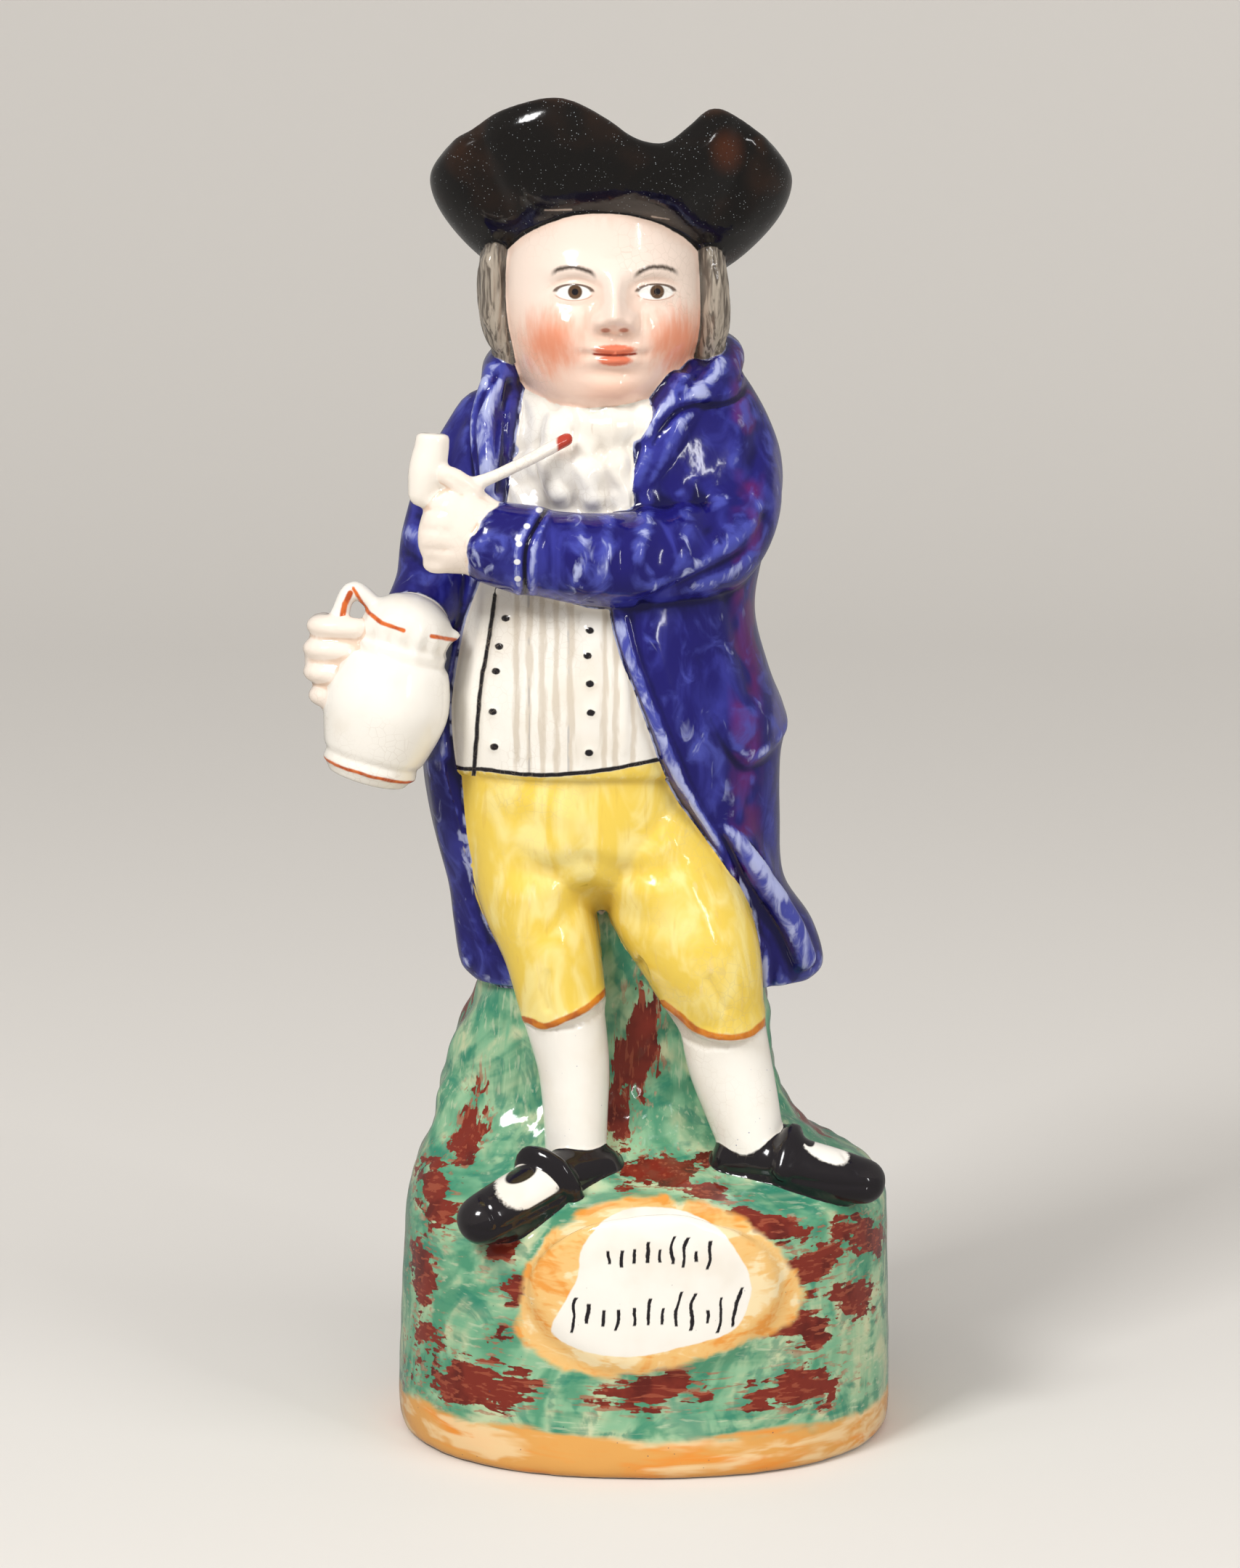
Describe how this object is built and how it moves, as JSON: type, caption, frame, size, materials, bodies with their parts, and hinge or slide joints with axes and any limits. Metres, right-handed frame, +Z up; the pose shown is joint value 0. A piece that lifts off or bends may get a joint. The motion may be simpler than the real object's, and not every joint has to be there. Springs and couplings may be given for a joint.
{
  "type": "toby jug",
  "caption": "Standing glazed earthenware toby jug: a stout fellow in a tricorn hat holding a pipe and a small ale jug on a rocky drum, hollow, with a loop handle behind",
  "frame": {"origin": "Middle of the flat underside of the drum, which is also the mount underside", "axes": "+Z up through the hat, the figure faces -Y, +X to the side of the pipe-holding arm's shoulder"},
  "size_m": [0.1264, 0.1062, 0.2898],
  "materials": {
    "toby_jug": "Cream earthenware body painted under a clear glossy glaze: black hat and shoes, cobalt blue coat, yellow breeches, white waistcoat, stockings and ale jug, peach flesh with orange rouge, green and red-brown sponged base with an ochre foot band"
  },
  "bodies": {
    "root": {"toby_jug": "toby_jug"}
  },
  "joints": []
}
